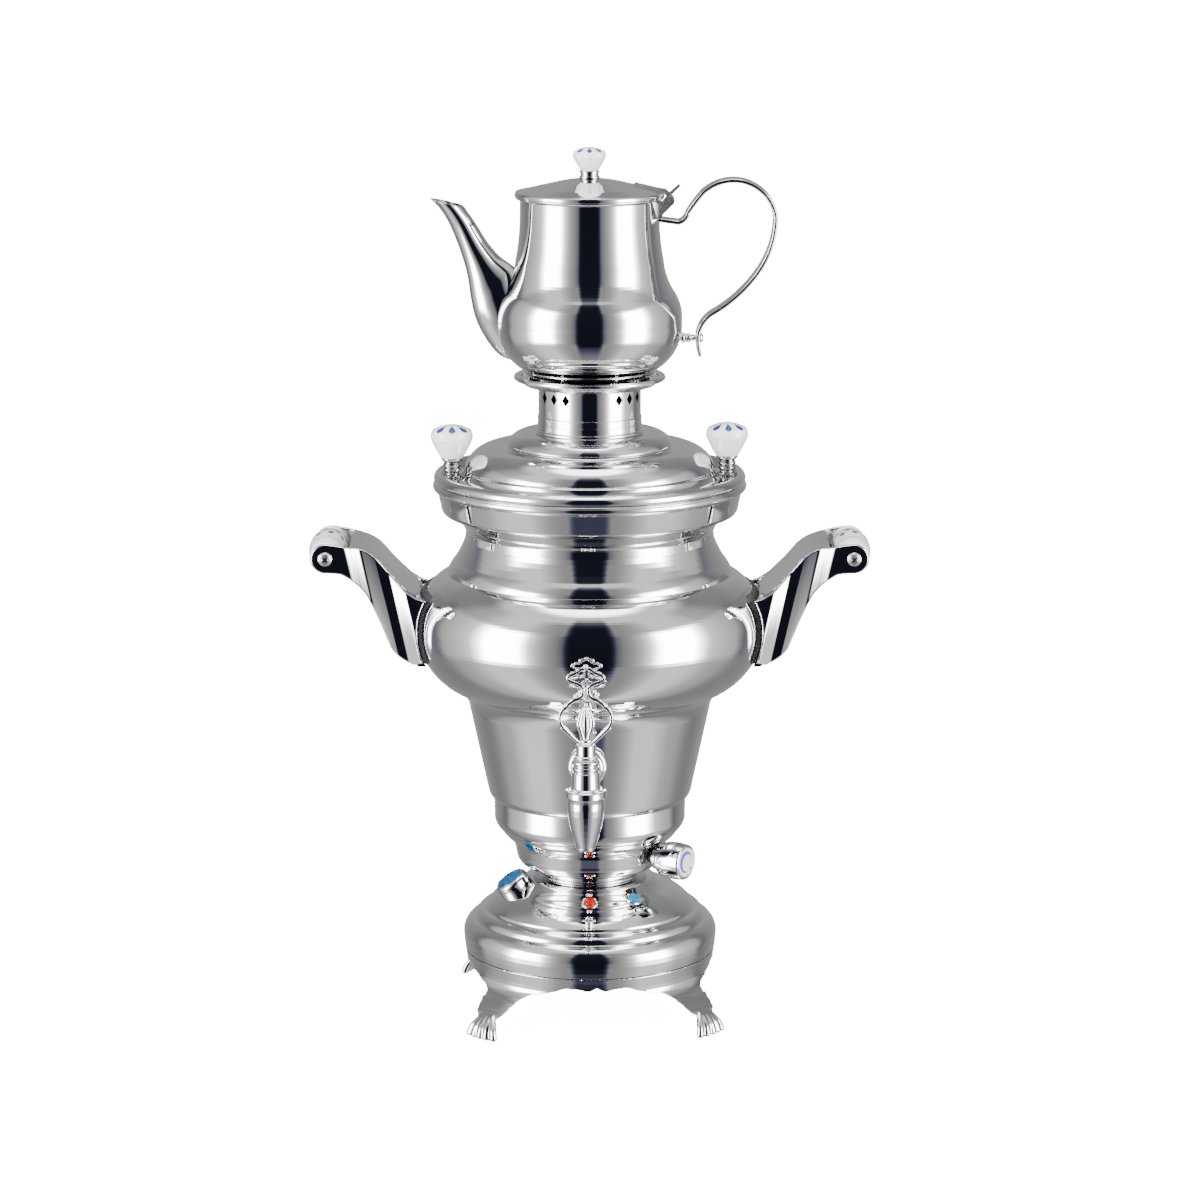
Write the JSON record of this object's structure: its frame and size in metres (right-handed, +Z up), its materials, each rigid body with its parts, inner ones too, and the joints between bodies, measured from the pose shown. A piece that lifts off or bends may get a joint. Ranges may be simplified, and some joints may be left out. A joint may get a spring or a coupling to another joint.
{
  "type": "electric samovar",
  "caption": "Electric samovar: steel water tank on a clawed foot ring, tap with pierced key, side handles, lift-off cover, and a teapot on the crown.",
  "frame": {"origin": "on the vertical axis of the vessel, at the table under the feet", "axes": "+Z up, -Y to the front where the tap points, -X to the side where the teapot's spout points"},
  "size_m": [0.3336, 0.232, 0.5191],
  "materials": {
    "polished_steel": "polished",
    "cast_chrome": "polished",
    "plain_steel": "plain",
    "dark_rubber": "matte",
    "black_plastic": "moulded",
    "porcelain": "glazed, opaque",
    "brass": "polished",
    "cream_plastic": "glossy",
    "blue_plastic": "glossy",
    "red_lens": "glossy",
    "blue_lens": "glossy"
  },
  "bodies": {
    "samovar": {"foot_ring": "cast_chrome", "bottom_plate": "plain_steel", "bottom_screws": "plain_steel", "base_shell": "polished_steel", "neck_collar": "polished_steel", "tie_rod": "plain_steel", "tie_nuts": "plain_steel", "body_shell": "polished_steel", "tank_floor": "plain_steel", "element_gasket": "dark_rubber", "heating_element": "plain_steel", "element_nut": "brass", "thermal_cutout": "black_plastic", "thermostat": "black_plastic", "thermostat_nut": "plain_steel", "switch_bezel": "cast_chrome", "red_lamp": "red_lens", "blue_lamp": "blue_lens", "power_inlet": "black_plastic", "inlet_pins": "plain_steel", "handle_left": "cast_chrome", "handle_right": "cast_chrome", "handle_gaskets": "dark_rubber", "handle_nuts": "plain_steel", "grip_left": "porcelain", "grip_right": "porcelain", "grip_bolts": "plain_steel", "tap_body": "cast_chrome", "tap_gasket": "dark_rubber", "tap_nut": "brass", "cover_gasket": "dark_rubber"},
    "cover": {"cover": "polished_steel", "cover_knob_stems": "cast_chrome", "cover_knobs": "porcelain", "crown": "polished_steel", "crown_saucer": "polished_steel"},
    "teapot": {"teapot_body": "polished_steel", "teapot_spout": "polished_steel", "teapot_handle": "cast_chrome", "handle_stud": "cast_chrome", "hinge_bracket": "cast_chrome", "hinge_pin": "plain_steel"},
    "teapot_lid": {"teapot_lid": "polished_steel", "lid_leaf": "cast_chrome", "lid_ferrule": "cast_chrome", "lid_knob": "porcelain"},
    "tap_key": {"tap_key": "cast_chrome"},
    "thermostat_dial": {"thermostat_knob": "cast_chrome", "dial_insert": "cream_plastic"},
    "rocker": {"switch_rocker": "blue_plastic"}
  },
  "joints": [
    {"name": "cover_lift", "type": "slide", "parent": "samovar", "child": "cover", "axis": [0, 0, 1], "range_m": [0, 0.16]},
    {"name": "teapot_lift", "type": "slide", "parent": "cover", "child": "teapot", "axis": [0, 0, 1], "range_m": [0, 0.12]},
    {"name": "teapot_lid_hinge", "type": "hinge", "parent": "teapot", "child": "teapot_lid", "pos_m": [0.0471, 0, 0.4883], "axis": [0, 1, 0], "range_deg": [0, 95]},
    {"name": "tap_turn", "type": "hinge", "parent": "samovar", "child": "tap_key", "pos_m": [-0.00202, -0.11598, 0.17], "axis": [0, 0, 1], "range_deg": [0, 90]},
    {"name": "thermostat_turn", "type": "hinge", "parent": "samovar", "child": "thermostat_dial", "pos_m": [0.04193, -0.02723, 0.0977], "axis": [0.8387, -0.5446, 0], "range_deg": [0, 270]},
    {"name": "switch_rock", "type": "hinge", "parent": "samovar", "child": "rocker", "pos_m": [-0.04706, -0.01086, 0.07868], "axis": [0.225, -0.9744, 0], "range_deg": [0, 14]}
  ]
}
